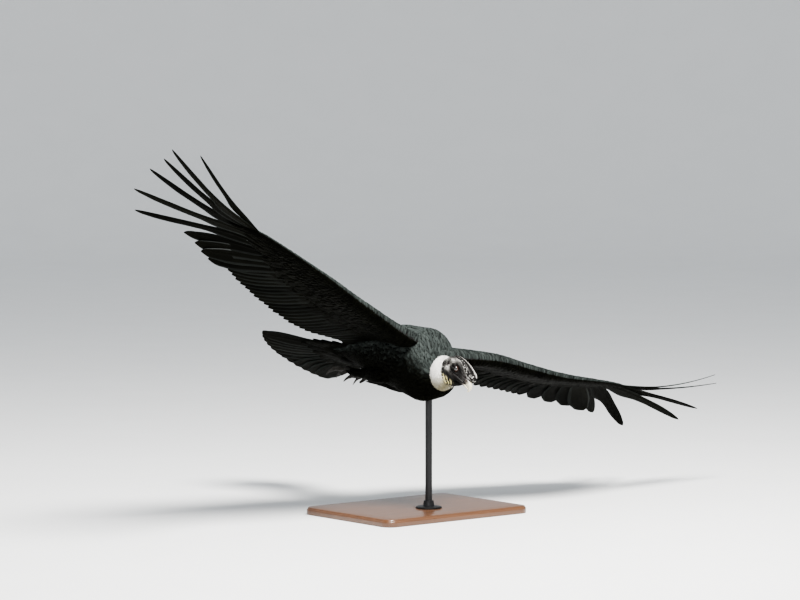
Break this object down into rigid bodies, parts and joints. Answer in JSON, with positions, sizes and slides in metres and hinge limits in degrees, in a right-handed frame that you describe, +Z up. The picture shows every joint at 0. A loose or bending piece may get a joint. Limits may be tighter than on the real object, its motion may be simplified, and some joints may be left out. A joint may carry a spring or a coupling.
{
  "type": "condor display model",
  "caption": "Life-size display model of a male condor gliding in a bank, wings and finger feathers spread, on a flat base with one upright rod.",
  "frame": {"origin": "centre of the base's flat underside", "axes": "+Z up; the bird heads along -Y with its left wing towards +X and lower than its right wing"},
  "size_m": [2.6772, 1.1706, 1.2973],
  "materials": {
    "plumage": "satin black vanes, white panel on the upper wing added in the visual model",
    "white_down": "matt white down",
    "bare_skin": "wrinkled grey-brown bare skin",
    "bill": "ivory horn",
    "eye": "polished brown",
    "leg_skin": "pale grey scaly skin",
    "claw": "dark horn",
    "stand_metal": "satin black",
    "stand_wood": "dark satin varnish"
  },
  "bodies": {
    "root": {"torso": "plumage", "ruff": "white_down", "neck": "bare_skin", "head": "bare_skin", "comb": "bare_skin", "bill_upper": "bill", "bill_lower": "bill", "tail": "plumage", "eye_right": "eye", "wing_right": "plumage", "thigh_right": "plumage", "shank_right": "leg_skin", "foot_right": "leg_skin", "claw_inner_right": "claw", "claw_middle_right": "claw", "claw_outer_right": "claw", "eye_left": "eye", "wing_left": "plumage", "thigh_left": "plumage", "shank_left": "leg_skin", "foot_left": "leg_skin", "claw_inner_left": "claw", "claw_middle_left": "claw", "claw_outer_left": "claw", "stand_base": "stand_wood", "stand_flange": "stand_metal", "stand_rod": "stand_metal"}
  },
  "joints": []
}
